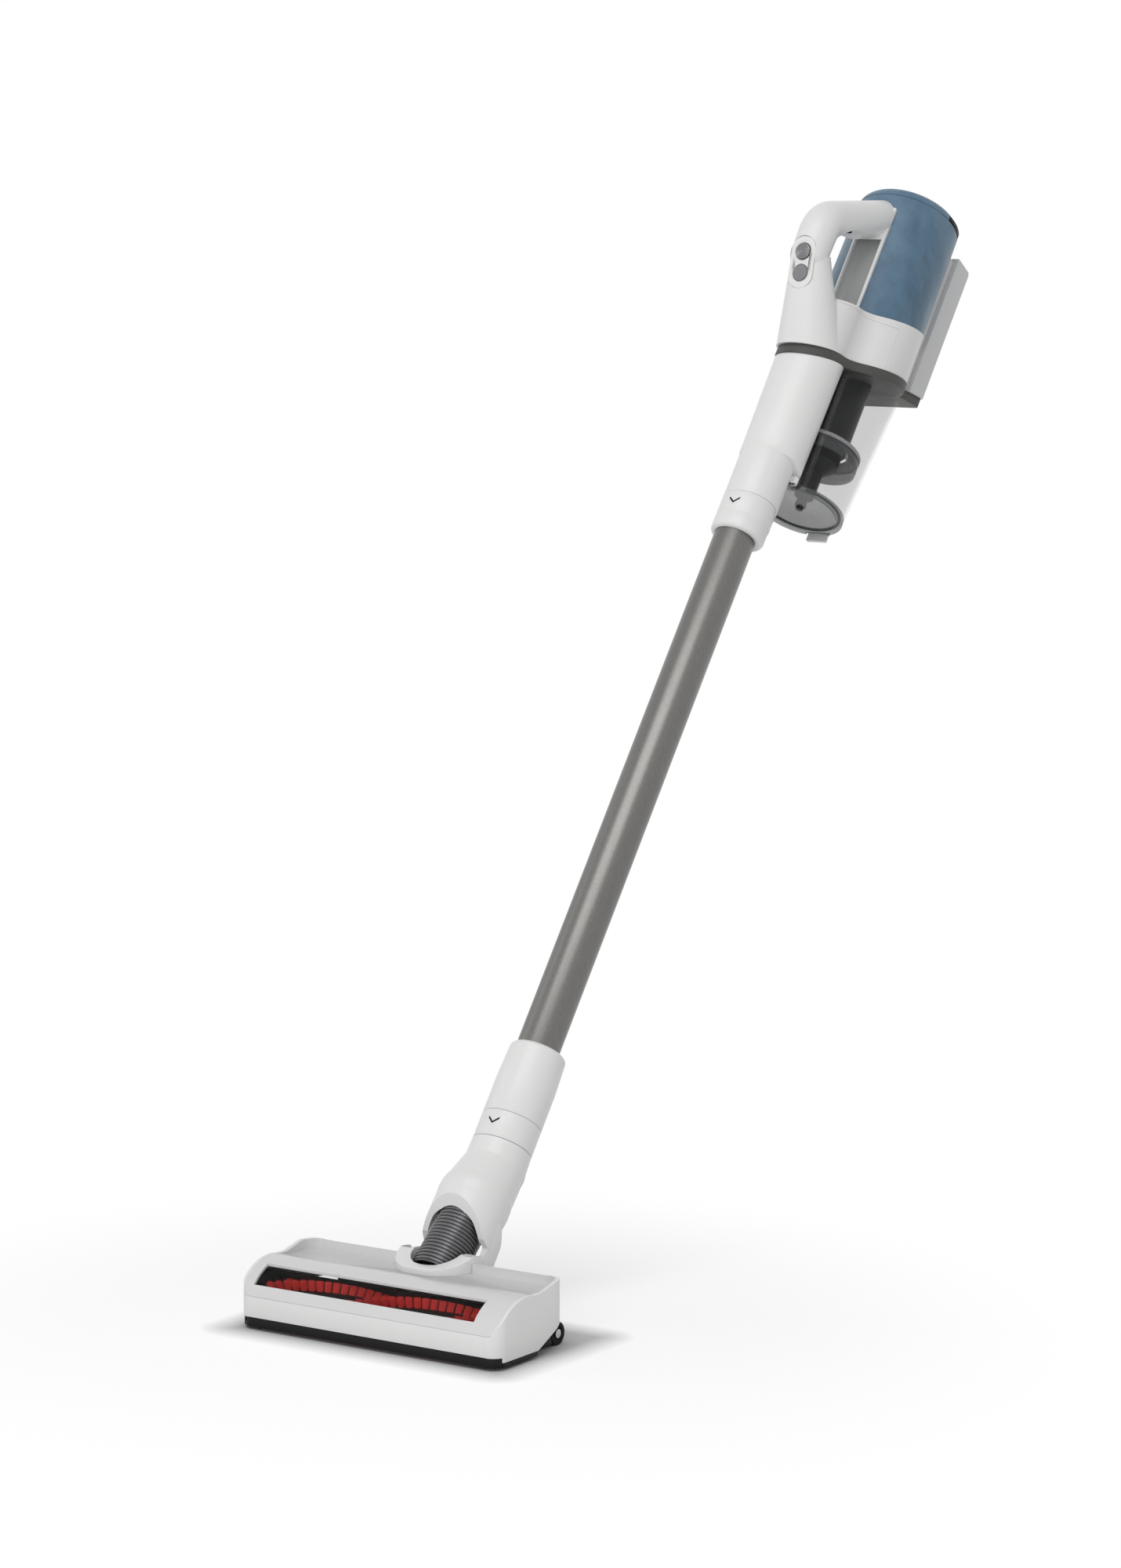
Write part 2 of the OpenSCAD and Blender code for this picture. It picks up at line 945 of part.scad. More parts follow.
module foot_rim() {
  color([0.36, 0.36, 0.35])
    on_wand()
      difference() {
        intersection() {
          union() {
            body_plan(0.6, 820, 960);
            foot_plan(0, 820, 960);
          }
          above(rim_low);
          below(rim_low + rim_t - 0.2);
        }
        cylinder(h = 1200, r = tube_r);
        translate([0, bin_y, 800])
          cylinder(h = 200, r = shroud_r - 4);
      }
}

module bar_frame() {
  translate([0, bar_y0, bar_z0])
    rotate([-bar_angle, 0, 0])
      children();
}

function leg_top() = bar_z0 + (leg_y - bar_y0) / tan(bar_angle) - bend_r * tan(bar_angle / 2);

// the flare that carries the leg, drawn from the body up to the leg's foot
module flare(d, h) {
  translate([0, 6, 868])
    rotate([flare_a, 0, 0])
      cylinder(h = h, r1 = flare_r - d, r2 = flare_r - d - (flare_r - leg_r - 1) * h / flare_l);
}

// round grip: flare, leg, bend and bar
module grip() {
  union() {
    flare(0, flare_l);
    translate([0, leg_y, leg_low])
      sphere(r = leg_r + 0.9);
    translate([0, leg_y + bend_r, leg_top()])
      rotate([90, 0, -90])
        union() {
          rotate_extrude(angle = bar_angle)
            translate([bend_r, 0])
              circle(r = grip_r);
          translate([bend_r, gap, 0])
            rotate([90, 0, 0])
              cylinder(h = leg_top() - leg_low + gap, r1 = grip_r - 0.03, r2 = leg_r + 0.6);
          rotate([0, 0, bar_angle])
            translate([bend_r, -gap, 0])
              rotate([-90, 0, 0])
                cylinder(h = 90, r = grip_r - 0.03);
        }
  }
}

// finger opening between the leg and the motor housing
module finger_gap() {
  intersection() {
    along_x(-60, 60)
      union() {
        translate([4.65, 953.6])
          circle(r = 36.8);
        translate([-4, 947])
          circle(r = 29.5);
        polygon([[-32.1, 950], [-31.6, 961], [-27, 966], [-18.6, 972.2], [10.4, 993.8],
          [22, 1002.4], [22, 900], [4, 900]]);
      }
    box([-60, -60, 900], [60, 22, 1010]);
    above(deck - 0.1);
  }
}

// pocket for the button plate in the front of the leg
module plate_frame() {
  translate([0, (btn_up_y + btn_lo_y) / 2, (btn_up_z + btn_lo_z) / 2])
    rotate([90 + face_tilt, 0, 0])
      children();
}

module capsule(w, l, z0, z1) {
  union() {
    for (s = [-1, 1])
      translate([0, s * (l - w) / 2, z0])
        cylinder(h = z1 - z0, r = w / 2);
    box([-w / 2, -(l - w) / 2, z0], [w / 2, (l - w) / 2, z1]);
  }
}

module handle_shell() {
  color([0.95, 0.95, 0.95])
    on_wand()
      difference() {
        union() {
          difference() {
            body_plan(0, 820, 980);
            box([-100, 52.7, 800], [100, 200, 1000]);
            above(seam_z, seam_tilt);
          }
          intersection() {
            grip();
            box([-60, -120, 800], [60, 60, 1100]);
          }
          intersection() {
            spine_solid(0, 1037);
            above(seam_z - 0.4, seam_tilt);
          }
        }
        below(rim_low + rim_t);
        finger_gap();
        shell_room();
        grip_core();
        translate([0, bin_y, 900])
          cylinder(h = 300, r = motor_shell_r - 12);
        difference() {
          translate([0, bin_y, 880])
            cylinder(h = 300, r = motor_shell_r + 0.4);
          spine_solid(0, 1037);
        }
        spine_room(0.1);
        plate_frame()
          capsule(23.4, 45.4, -1.2, 20);
        plate_frame()
          for (s = [-1, 1])
            translate([0, s * 9.15, -6])
              cylinder(h = 20, r = 5);
      }
}

// hollow inside the body, under the finger opening
module shell_room() {
  union() {
    intersection() {
      body_plan(-wall, 800, 1000);
      below(seam_z - wall, seam_tilt);
      box([-100, -60, 700], [100, 200, 1100]);
    }
    intersection() {
      flare(3, 60);
      below(seam_z - wall, seam_tilt);
    }
  }
}

// hollow of the grip
module grip_core() {
  union() {
    bar_frame()
      translate([0, -1, -36])
        cylinder(h = 48, r = grip_r - 4.4);
    difference() {
      flare(3.6, 70);
      box([-60, -14, 800], [60, 60, 1000]);
      above(deck + 24);
    }
  }
}

// the concave spine between the two ends of the grip
module spine_solid(d, top) {
  intersection() {
    box([-spine_x - d, 20, 900], [spine_x + d, 38 + d, top + d]);
    translate([0, bin_y, 880])
      cylinder(h = 300, r = motor_shell_r + 0.6 + d);
  }
}

// hollow of the spine where its concave liner sits, below the bar
module spine_room(d) {
  intersection() {
    translate([0, 17.4, 850])
      cylinder(h = 300, r = 18.6 + d);
    box([-13 - d, 10, 900], [13 + d, 60, 1100]);
    above(deck - 4 - d);
    along_x(-60, 60)
      polygon([[0, 800], [0, 985.5 + d], [10.4, 993.2 + d], [60, 1029.8 + d], [60, 800]]);
  }
}

module spine_strip() {
  color([0.6, 0.61, 0.62])
    on_wand()
      difference() {
        spine_room(0);
        translate([0, 16.4, 850])
          cylinder(h = 300, r = 17.2);
        below(deck - 3.9);
      }
}

module housing_skirt() {
  color([0.93, 0.93, 0.93])
    on_wand()
      difference() {
        union() {
          intersection() {
            body_plan(0, 820, 1010);
            below(deck);
            above(rim_low + rim_t + 0.1);
            union() {
              above(seam_z + 0.2, seam_tilt);
              box([-100, 53, 700], [100, 200, 1100]);
            }
          }
          intersection() {
            box([-27, 100, 880], [27, pack_in - 0.3, 1046]);
            above(rim_low + rim_t + 0.1);
          }
        }
        intersection() {
          body_plan(-wall, 800, 1000);
          below(deck - 9);
          box([-100, 30, 700], [100, 112, 1100]);
        }
        translate([0, bin_y, 800])
          cylinder(h = 300, r = 34);
        difference() {
          translate([0, bin_y, 800])
            cylinder(h = 400, r = motor_shell_r + 0.5);
          below(deck + 0.1);
        }
        box([-pack_x - gap, pack_in - 0.3, 800], [pack_x + gap, 200, 1100]);
        flare(-0.3, 85);
        spine_solid(0.3, 1037);
        translate([0, 17.4, 850])
          cylinder(h = 300, r = 19);
      }
}

module button_plate() {
  color([0.9, 0.9, 0.9])
    on_wand()
      plate_frame()
        difference() {
          capsule(23, 45, -1, 0.6);
          for (s = [-1, 1])
            translate([0, s * 9.15, -3])
              cylinder(h = 6, r = button_d / 2 + 0.25);
        }
}

module push_button(s) {
  plate_frame()
    translate([0, s * 9.15, 0])
      union() {
        translate([0, 0, 0.1])
          cylinder(h = 1.7, r1 = button_d / 2, r2 = button_d / 2 - 0.5);
        translate([0, 0, -4.6])
          cylinder(h = 4.8, r = 4.5);
      }
}

module power_button() {
  color([0.72, 0.73, 0.75])
    on_wand()
      push_button(1);
}

module mode_button() {
  color([0.5, 0.5, 0.52])
    on_wand()
      push_button(-1);
}

module motor_housing() {
  color([0.3, 0.42, 0.52])
    on_wand()
      difference() {
        translate([0, bin_y, 900])
          cylinder(h = lid_low - 0.3 - 900, r1 = motor_shell_r + 0.2, r2 = shell_top_r);
        translate([0, bin_y, 890])
          cylinder(h = 200, r = shell_top_r - 2.6);
        below(deck + 0.2);
        spine_solid(0.3, 1037);
      }
}

module housing_lid() {
  color([0.3, 0.42, 0.52])
    on_wand()
      difference() {
        translate([0, bin_y, lid_low])
          rotate_extrude()
            union() {
              square([shell_top_r - lid_round, lid_top - lid_low]);
              square([shell_top_r, lid_top - lid_low - lid_round]);
              intersection() {
                translate([shell_top_r - lid_round, lid_top - lid_low - lid_round])
                  circle(r = lid_round);
                square([shell_top_r, lid_top - lid_low]);
              }
            }
        translate([0, bin_y, lid_low - 1])
          cylinder(h = 7, r = shell_top_r - 3);
        intersection() {
          translate([0, bin_y, lid_low - 1])
            tube(60, shell_top_r - 4, 5.3);
          box([30, bin_y - 7, lid_low - 1], [60, bin_y + 21, lid_low + 5]);
        }
      }
}

module lid_clip() {
  color([0.1, 0.1, 0.11])
    on_wand()
      intersection() {
        translate([0, bin_y, lid_low - 2])
          tube(shell_top_r + 0.3, shell_top_r - 2.4, 8);
        box([30, bin_y - 6.6, lid_low + 0.3], [60, bin_y + 20.6, lid_low + 4]);
      }
}

module suction_motor() {
  color([0.45, 0.45, 0.47])
    on_wand()
      difference() {
        translate([0, bin_y, 945])
          cylinder(h = 52, r = 30);
        translate([0, bin_y, 940])
          cylinder(h = 70, r = 4 + fit);
      }
}

// shaft with the suction fan pressed on
module motor_rotor() {
  color([0.8, 0.8, 0.82])
    on_wand()
      translate([0, bin_y, 914])
        union() {
          cylinder(h = 90, r = 4);
          translate([0, 0, 6])
            cylinder(h = 2, r = 28);
          translate([0, 0, 6])
            cylinder(h = 14, r1 = 12, r2 = 7);
          for (k = [0 : 8])
            rotate([0, 0, k * 40])
              box([6, -0.8, 7], [27, 0.8, 17]);
        }
}

module exhaust_filter() {
  color([0.85, 0.85, 0.83])
    on_wand()
      translate([0, bin_y, 1014])
        difference() {
          tube(31.6, 18, 30);
          for (k = [0 : 23])
            rotate([0, 0, k * 15])
              box([28.6, -1.2, -1], [34, 1.2, 31]);
        }
}

module circuit_board() {
  color([0.1, 0.35, 0.2])
    on_wand()
      bar_frame()
        box([-9, -2, -34], [9, 0, 10]);
}

module battery_case() {
  color([0.84, 0.85, 0.86])
    on_wand()
      difference() {
        union() {
          translate([0, 0, 880])
            pack_plan(0, pack_top - 880);
        }
        below(rim_low + rim_t);
        above_pack();
        intersection() {
          translate([0, 0, 880])
            pack_plan(-2, pack_top - 882);
          above(rim_low + rim_t + 3);
        }
        box([-8 - gap, pack_out - 4.4, 1018], [8 + gap, pack_out + 4, 1036]);
      }
}

// eased top edge at the back of the battery
module above_pack() {
  along_x(-60, 60)
    polygon([[pack_out - 6, pack_top + 1], [pack_out + 1, pack_top + 1],
      [pack_out + 1, pack_top - 8]]);
}

module pack_plan(d, h) {
  union() {
    box([-pack_x - d, pack_in - d, 0], [pack_x + d, pack_out - 5, h]);
    box([-pack_x + 5, pack_in - d, 0], [pack_x - 5, pack_out + d, h]);
    for (s = [-1, 1])
      translate([s * (pack_x - 5), pack_out - 5, 0])
        cylinder(h = h, r = 5 + d);
  }
}

module battery_cells() {
  color([0.2, 0.5, 0.35])
    on_wand()
      for (x = [-18.6, 0, 18.6], k = [0, 1])
        translate([x, 130.4 - 0.4, 941 + k * 38 - 18])
          cylinder(h = 36, r = 9);
}

module battery_button() {
  color([0.4, 0.41, 0.43])
    on_wand()
      box([-8, pack_out - 1.9, 1018.3], [8, pack_out + 0.6, 1035.7]);
}

// ---- bin ----

module bin_cone(d, z0, z1) {
  k = (bin_top_r - bin_low_r) / 104;
  translate([0, bin_y, z0])
    cylinder(h = z1 - z0, r1 = bin_low_r + d + (z0 - bin_low) * k,
      r2 = bin_low_r + d + (z1 - bin_low) * k);
}

module dust_bin() {
  color([0.8, 0.82, 0.84, 0.3])
    on_wand()
      difference() {
        union() {
          bin_cone(0, bin_low, 912);
          for (s = [-1, 1])
            box([s * 14 - 2.5, 27.4, bin_low - 6.2], [s * 14 + 2.5, 34, bin_low + 7]);
        }
        bin_cone(-bin_wall, bin_low - 2, 920);
        above(rim_low - 0.3);
        translate([0, bin_y, bin_low - 10])
          cylinder(h = 9.9, r = bin_low_r + 0.3);
        rod_x(-30, 30, hinge_y, hinge_z, 1.5);
      }
}

module bin_door() {
  color([0.75, 0.77, 0.79, 0.45])
    on_wand()
      difference() {
        union() {
          translate([0, bin_y, bin_low - 4.6])
            cylinder(h = 4.3, r = bin_low_r);
          box([-11, 28.2, bin_low - 5.5], [11, 36, bin_low - 1.3]);
          box([-10, bin_y + bin_low_r - 4, bin_low - 4.6], [10, bin_y + bin_low_r + 2.2,
            bin_low - 0.4]);
        }
        rod_x(-30, 30, hinge_y, hinge_z, 1.5 + fit);
        difference() {
          translate([0, bin_y, bin_low - 6])
            cylinder(h = 4, r = bin_low_r - 6);
          box([-12, 20, bin_low - 10], [12, 38, bin_low]);
        }
        translate([0, bin_y, bin_low - 1.7])
          tube(bin_low_r - 2.8, bin_low_r - 5.4, 5);
        translate([0, bin_y, bin_low - 10])
          cylinder(h = 20, r = 3);
        box([-10.4, bin_y + bin_low_r - 3.6, bin_low - 8], [10.4, bin_y + bin_low_r + 3,
          bin_low - 3]);
        for (s = [-1, 1])
          box([s > 0 ? 11 : -17, 20, bin_low - 10], [s > 0 ? 17 : -11, 36.2, bin_low]);
      }
}

// black peg on the door that closes the foot of the cyclone
module door_boss() {
  color([0.05, 0.05, 0.05])
    on_wand()
      translate([0, bin_y, bin_low - 2])
        union() {
          translate([0, 0, -1])
            cylinder(h = 3, r = 3);
          translate([0, 0, 1.9])
            cylinder(h = 10, r1 = 5, r2 = 4.4);
          translate([0, 0, 11.8])
            cylinder(h = 3, r = 8.5);
        }
}

module door_seal() {
  color([0.25, 0.25, 0.26])
    on_wand()
      translate([0, bin_y, bin_low - 1.7])
        tube(bin_low_r - 2.9, bin_low_r - 5.3, 1.3);
}

module door_pin() {
  color([0.65, 0.65, 0.67])
    on_wand()
      rod_x(-16.4, 16.4, hinge_y, hinge_z, 1.5);
}

module door_latch() {
  color([0.7, 0.71, 0.72])
    on_wand()
      box([-9.6, bin_y + bin_low_r - 0.6, bin_low - 9.6], [9.6, bin_y + bin_low_r + 2.2,
        bin_low - 3.4]);
}

module shroud() {
  color([0.13, 0.13, 0.14])
    on_wand()
      difference() {
        translate([0, bin_y, band_low + band_h])
          tube(shroud_r, shroud_r - 2, 80);
        above(rim_low - 0.2);
      }
}

module mesh_band() {
  color([0.62, 0.62, 0.62])
    on_wand()
      difference() {
        translate([0, bin_y, band_low])
          cylinder(h = band_h - 0.2, r = band_r);
        translate([0, bin_y, band_low - 1])
          cylinder(h = band_h - 1.2, r = band_r - 2);
        translate([0, bin_y, band_low])
          cylinder(h = 60, r = shroud_r - 2);
      }
}

module cyclone_cone() {
  color([0.1, 0.1, 0.11])
    on_wand()
      translate([0, bin_y, bin_low + 13.2])
        difference() {
          union() {
            translate([0, 0, 20])
              cylinder(h = 10, r1 = post_r, r2 = 18.6);
            cylinder(h = 20.1, r = post_r);
            translate([0, 0, 30])
              cylinder(h = 20, r = 18.6);
          }
          translate([0, 0, 22])
            cylinder(h = 8.1, r1 = post_r - 1.6, r2 = 16.8);
          translate([0, 0, 30])
            cylinder(h = 25, r = 16.8);
          translate([0, 0, -1])
            cylinder(h = 30, r = post_r - 1.6);
        }
}

head_front();
end_cap_left();
end_cap_right();
bezel();
brush_window();
top_tray();
head_rear();
head_base();
front_strip();
hose_collar();
brush_core();
brush_tufts();
brush_bearings();
brush_pulley();
brush_motor();
motor_pulley();
drive_belt();
wheel_left();
wheel_right();
roller_left();
roller_right();
axles();
neck_hood();
neck_shell();
pivot_pins();
hose();
wand_tube();
lower_collar();
lower_sleeve();
lower_button();
end_ring();
marked_ring();
upper_button();
inlet_duct();
foot_rim();
handle_shell();
spine_strip();
housing_skirt();
button_plate();
power_button();
mode_button();
motor_housing();
housing_lid();
lid_clip();
suction_motor();
motor_rotor();
exhaust_filter();
circuit_board();
battery_case();
battery_cells();
battery_button();
dust_bin();
bin_door();
door_boss();
door_seal();
door_pin();
door_latch();
shroud();
mesh_band();
cyclone_cone();
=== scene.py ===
# Cordless stick vacuum cleaner: finishes, fine pieces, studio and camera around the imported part
import math
import json
import bmesh
import bpy
from mathutils import Matrix, Vector


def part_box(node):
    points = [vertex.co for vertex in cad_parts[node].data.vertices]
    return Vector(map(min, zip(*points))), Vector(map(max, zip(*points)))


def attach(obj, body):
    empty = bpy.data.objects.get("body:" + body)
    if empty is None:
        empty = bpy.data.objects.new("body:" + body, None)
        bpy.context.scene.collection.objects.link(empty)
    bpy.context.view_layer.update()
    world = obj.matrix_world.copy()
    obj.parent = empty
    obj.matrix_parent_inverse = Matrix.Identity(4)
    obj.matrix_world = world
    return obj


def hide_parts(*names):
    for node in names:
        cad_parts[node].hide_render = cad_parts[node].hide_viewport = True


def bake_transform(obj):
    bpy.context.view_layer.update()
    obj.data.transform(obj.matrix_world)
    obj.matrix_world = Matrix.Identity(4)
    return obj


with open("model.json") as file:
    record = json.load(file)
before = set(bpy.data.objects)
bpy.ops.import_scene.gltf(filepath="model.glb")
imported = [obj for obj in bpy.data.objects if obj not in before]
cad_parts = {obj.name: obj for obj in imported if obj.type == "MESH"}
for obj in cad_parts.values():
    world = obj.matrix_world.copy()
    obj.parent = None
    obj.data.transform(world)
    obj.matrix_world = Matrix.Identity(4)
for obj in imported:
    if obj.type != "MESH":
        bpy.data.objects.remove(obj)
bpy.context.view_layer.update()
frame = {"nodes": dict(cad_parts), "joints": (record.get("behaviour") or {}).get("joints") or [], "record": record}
nodes = frame["nodes"]
joints = {j["name"]: j for j in frame["joints"]}
print("frame loaded:", len(nodes), "parts")

mm = 0.001

# the wand's own frame, read from the neck and swivel joints
tiltPoint = Vector(joints["neck_tilt"]["pos_m"])
wandUp = Vector(joints["wand_swivel"]["axis"]).normalized()
wandSide = Vector((1, 0, 0))
wandBack = wandUp.cross(wandSide).normalized()
wandFrame = Matrix((
    (wandSide.x, wandBack.x, wandUp.x, tiltPoint.x),
    (wandSide.y, wandBack.y, wandUp.y, tiltPoint.y),
    (wandSide.z, wandBack.z, wandUp.z, tiltPoint.z),
    (0, 0, 0, 1)))


def alongWand(x, back, up):
    # a place in millimetres measured on the wand: sideways, behind it, up it
    return wandFrame @ Vector((x * mm, back * mm, up * mm))


# finishes

def newFinish(name):
    mat = bpy.data.materials.new(name)
    mat.use_nodes = True
    tree = mat.node_tree
    shader = tree.nodes["Principled BSDF"]
    return mat, tree, shader


def setSockets(shader, values):
    for key, value in values.items():
        shader.inputs[key].default_value = value


def linkNoise(tree, scale, detail=4.0, rough=0.55, stretch=(1, 1, 1)):
    where = tree.nodes.new("ShaderNodeTexCoord")
    turn = tree.nodes.new("ShaderNodeMapping")
    turn.inputs["Scale"].default_value = stretch
    noise = tree.nodes.new("ShaderNodeTexNoise")
    noise.inputs["Scale"].default_value = scale
    noise.inputs["Detail"].default_value = detail
    noise.inputs["Roughness"].default_value = rough
    tree.links.new(where.outputs["Object"], turn.inputs["Vector"])
    tree.links.new(turn.outputs["Vector"], noise.inputs["Vector"])
    return noise


def linkRamp(tree, source, stops):
    ramp = tree.nodes.new("ShaderNodeValToRGB")
    while len(ramp.color_ramp.elements) < len(stops):
        ramp.color_ramp.elements.new(0.5)
    for element, (place, colour) in zip(ramp.color_ramp.elements, stops):
        element.position = place
        element.color = (*colour, 1) if len(colour) == 3 else colour
    tree.links.new(source, ramp.inputs["Fac"])
    return ramp


def linkRange(tree, source, low, high):
    spread = tree.nodes.new("ShaderNodeMapRange")
    spread.inputs["To Min"].default_value = low
    spread.inputs["To Max"].default_value = high
    tree.links.new(source, spread.inputs["Value"])
    return spread


def linkBump(tree, shader, source, strength, depth):
    bump = tree.nodes.new("ShaderNodeBump")
    bump.inputs["Strength"].default_value = strength
    bump.inputs["Distance"].default_value = depth
    tree.links.new(source, bump.inputs["Height"])
    tree.links.new(bump.outputs["Normal"], shader.inputs["Normal"])
    return bump


def mouldedPlastic(name, colour, roughness=0.32, grain=0.05, drift=0.02, coat=0.0, sheenScale=900,
                   shine=0.4):
    # injection moulded shell: fine spark grain, faint tone drift, uneven gloss
    mat, tree, shader = newFinish(name)
    setSockets(shader, {"Metallic": 0.0, "IOR": 1.48, "Coat Weight": coat, "Coat Roughness": 0.12,
                        "Specular IOR Level": shine})
    fine = linkNoise(tree, sheenScale, 3.0)
    slow = linkNoise(tree, 14, 3.0)
    dark = tuple(max(0, c * (1 - drift)) for c in colour)
    light = tuple(min(1, c * (1 + drift * 0.5)) for c in colour)
    ramp = linkRamp(tree, slow.outputs["Fac"], [(0.3, dark), (0.7, light)])
    tree.links.new(ramp.outputs["Color"], shader.inputs["Base Color"])
    gloss = linkRange(tree, slow.outputs["Fac"], roughness - 0.04, roughness + 0.05)
    tree.links.new(gloss.outputs["Result"], shader.inputs["Roughness"])
    linkBump(tree, shader, fine.outputs["Fac"], grain, 0.00008)
    return mat


def clearPlastic(name, colour, roughness=0.04, ior=1.45, alpha=0.25, haze=0.03):
    # see-through by alpha, so that light reaches what is behind it
    mat, tree, shader = newFinish(name)
    setSockets(shader, {"Base Color": (*colour, 1), "IOR": ior, "Alpha": alpha, "Specular IOR Level": 0.5})
    smear = linkNoise(tree, 30, 4.0)
    gloss = linkRange(tree, smear.outputs["Fac"], roughness, roughness + haze)
    tree.links.new(gloss.outputs["Result"], shader.inputs["Roughness"])
    linkBump(tree, shader, smear.outputs["Fac"], 0.03, 0.0002)
    return mat


def drawnMetal(name, colour, roughness=0.3, metallic=1.0, stretch=(1, 1, 1), scale=400, streak=0.08,
               shine=0.5):
    mat, tree, shader = newFinish(name)
    setSockets(shader, {"Metallic": metallic, "Specular IOR Level": shine})
    lines = linkNoise(tree, scale, 2.0, 0.6, stretch)
    slow = linkNoise(tree, 12, 2.0)
    dark = tuple(c * (1 - streak) for c in colour)
    light = tuple(min(1, c * (1 + streak)) for c in colour)
    ramp = linkRamp(tree, lines.outputs["Fac"], [(0.35, dark), (0.65, light)])
    tree.links.new(ramp.outputs["Color"], shader.inputs["Base Color"])
    gloss = linkRange(tree, slow.outputs["Fac"], roughness - 0.04, roughness + 0.06)
    tree.links.new(gloss.outputs["Result"], shader.inputs["Roughness"])
    linkBump(tree, shader, lines.outputs["Fac"], 0.05, 0.00005)
    return mat


def cloudedShell(name):
    # the blue motor shell: a fine leathery grain with soft cloudy tone
    look = {"deep": (0.062, 0.125, 0.19), "mid": (0.085, 0.165, 0.245), "pale": (0.125, 0.215, 0.30),
            "roughness": 0.4, "grain": 0.12}
    mat, tree, shader = newFinish(name)
    setSockets(shader, {"IOR": 1.47})
    cloud = linkNoise(tree, 38, 6.0, 0.62, (1, 1, 0.6))
    fine = linkNoise(tree, 700, 3.0)
    ramp = linkRamp(tree, cloud.outputs["Fac"], [(0.32, look["deep"]), (0.5, look["mid"]),
                                                 (0.72, look["pale"])])
    tree.links.new(ramp.outputs["Color"], shader.inputs["Base Color"])
    gloss = linkRange(tree, cloud.outputs["Fac"], look["roughness"] + 0.06, look["roughness"] - 0.06)
    tree.links.new(gloss.outputs["Result"], shader.inputs["Roughness"])
    linkBump(tree, shader, fine.outputs["Fac"], look["grain"], 0.0001)
    return mat


def bristleNylon(name, colour):
    mat, tree, shader = newFinish(name)
    # a faint glow in the bristles' own red: painted light
    setSockets(shader, {"Roughness": 0.45, "Sheen Weight": 0.15, "Emission Color": (*colour, 1),
                        "Emission Strength": 0.1})
    strands = linkNoise(tree, 1400, 2.0)
    dark = tuple(c * 0.7 for c in colour)
    ramp = linkRamp(tree, strands.outputs["Fac"], [(0.3, dark), (0.7, colour)])
    tree.links.new(ramp.outputs["Color"], shader.inputs["Base Color"])
    return mat


def pleatedPaper(name, colour):
    mat, tree, shader = newFinish(name)
    setSockets(shader, {"Roughness": 0.85})
    fibre = linkNoise(tree, 500, 5.0, 0.7)
    ramp = linkRamp(tree, fibre.outputs["Fac"], [(0.3, tuple(c * 0.9 for c in colour)), (0.7, colour)])
    tree.links.new(ramp.outputs["Color"], shader.inputs["Base Color"])
    linkBump(tree, shader, fibre.outputs["Fac"], 0.3, 0.0002)
    return mat


def wovenMesh(name, colour):
    # fine filter mesh: one fine cell pattern for tone and bump
    mat, tree, shader = newFinish(name)
    setSockets(shader, {"Roughness": 0.5, "Metallic": 0.2})
    where = tree.nodes.new("ShaderNodeTexCoord")
    checks = tree.nodes.new("ShaderNodeTexVoronoi")
    checks.inputs["Scale"].default_value = 900
    tree.links.new(where.outputs["Object"], checks.inputs["Vector"])
    ramp = linkRamp(tree, checks.outputs["Distance"], [(0.1, tuple(c * 0.45 for c in colour)), (0.6, colour)])
    tree.links.new(ramp.outputs["Color"], shader.inputs["Base Color"])
    linkBump(tree, shader, checks.outputs["Distance"], 0.4, 0.0002)
    return mat


finishes = {
    "white_shell": mouldedPlastic("whiteShell", (0.80, 0.80, 0.795), 0.3),
    "light_shell": mouldedPlastic("lightShell", (0.66, 0.665, 0.67), 0.34),
    "bezel_grey": mouldedPlastic("bezelGrey", (0.70, 0.70, 0.70), 0.28),
    "tray_clear": clearPlastic("trayClear", (0.73, 0.73, 0.735), 0.2, 1.45, 0.86),
    "window_black": clearPlastic("windowBlack", (0.012, 0.012, 0.012), 0.12, 1.45, 0.1),
    "black_plastic": mouldedPlastic("blackPlastic", (0.008, 0.008, 0.009), 0.38, 0.03,
                                    sheenScale=2600, shine=0.2),
    "dark_grey": mouldedPlastic("darkGrey", (0.088, 0.087, 0.083), 0.5, 0.05, sheenScale=2600, shine=0.2),
    "mid_grey": mouldedPlastic("midGrey", (0.22, 0.225, 0.235), 0.4, 0.1),
    "liner_grey": mouldedPlastic("linerGrey", (0.42, 0.425, 0.43), 0.36),
    "blue_shell": cloudedShell("blueShell"),
    "clear_bin": clearPlastic("clearBin", (0.05, 0.052, 0.055), 0.05, 1.5, 0.13),
    "clear_door": clearPlastic("clearDoor", (0.10, 0.104, 0.108), 0.06, 1.5, 0.56),
    "red_bristle": bristleNylon("redBristle", (0.80, 0.04, 0.03)),
    "rubber_black": mouldedPlastic("rubberBlack", (0.008, 0.008, 0.009), 0.6, 0.08,
                                   sheenScale=2200, shine=0.15),
    "hose_black": drawnMetal("hoseBlack", (0.15, 0.15, 0.155), 0.24, 0.8, (1, 1, 1), 1800, 0.04, 0.8),
    "steel": drawnMetal("steel", (0.55, 0.55, 0.56), 0.25),
    "motor_metal": drawnMetal("motorMetal", (0.45, 0.45, 0.46), 0.35),
    "tube_alu": drawnMetal("tubeAlu", (0.17, 0.167, 0.16), 0.33, 1.0, (1, 1, 0.03), 700, 0.05, 0.5),
    "chrome": drawnMetal("chrome", (0.21, 0.212, 0.218), 0.18, 1.0, (1, 1, 1), 200, 0.02),
    "filter_paper": pleatedPaper("filterPaper", (0.72, 0.72, 0.68)),
    "board_green": mouldedPlastic("boardGreen", (0.012, 0.10, 0.035), 0.35, 0.1),
    "cell_green": mouldedPlastic("cellGreen", (0.05, 0.22, 0.10), 0.3, 0.03, 0.02, 0.4),
    "mesh_grey": wovenMesh("meshGrey", (0.5, 0.5, 0.5)),
}

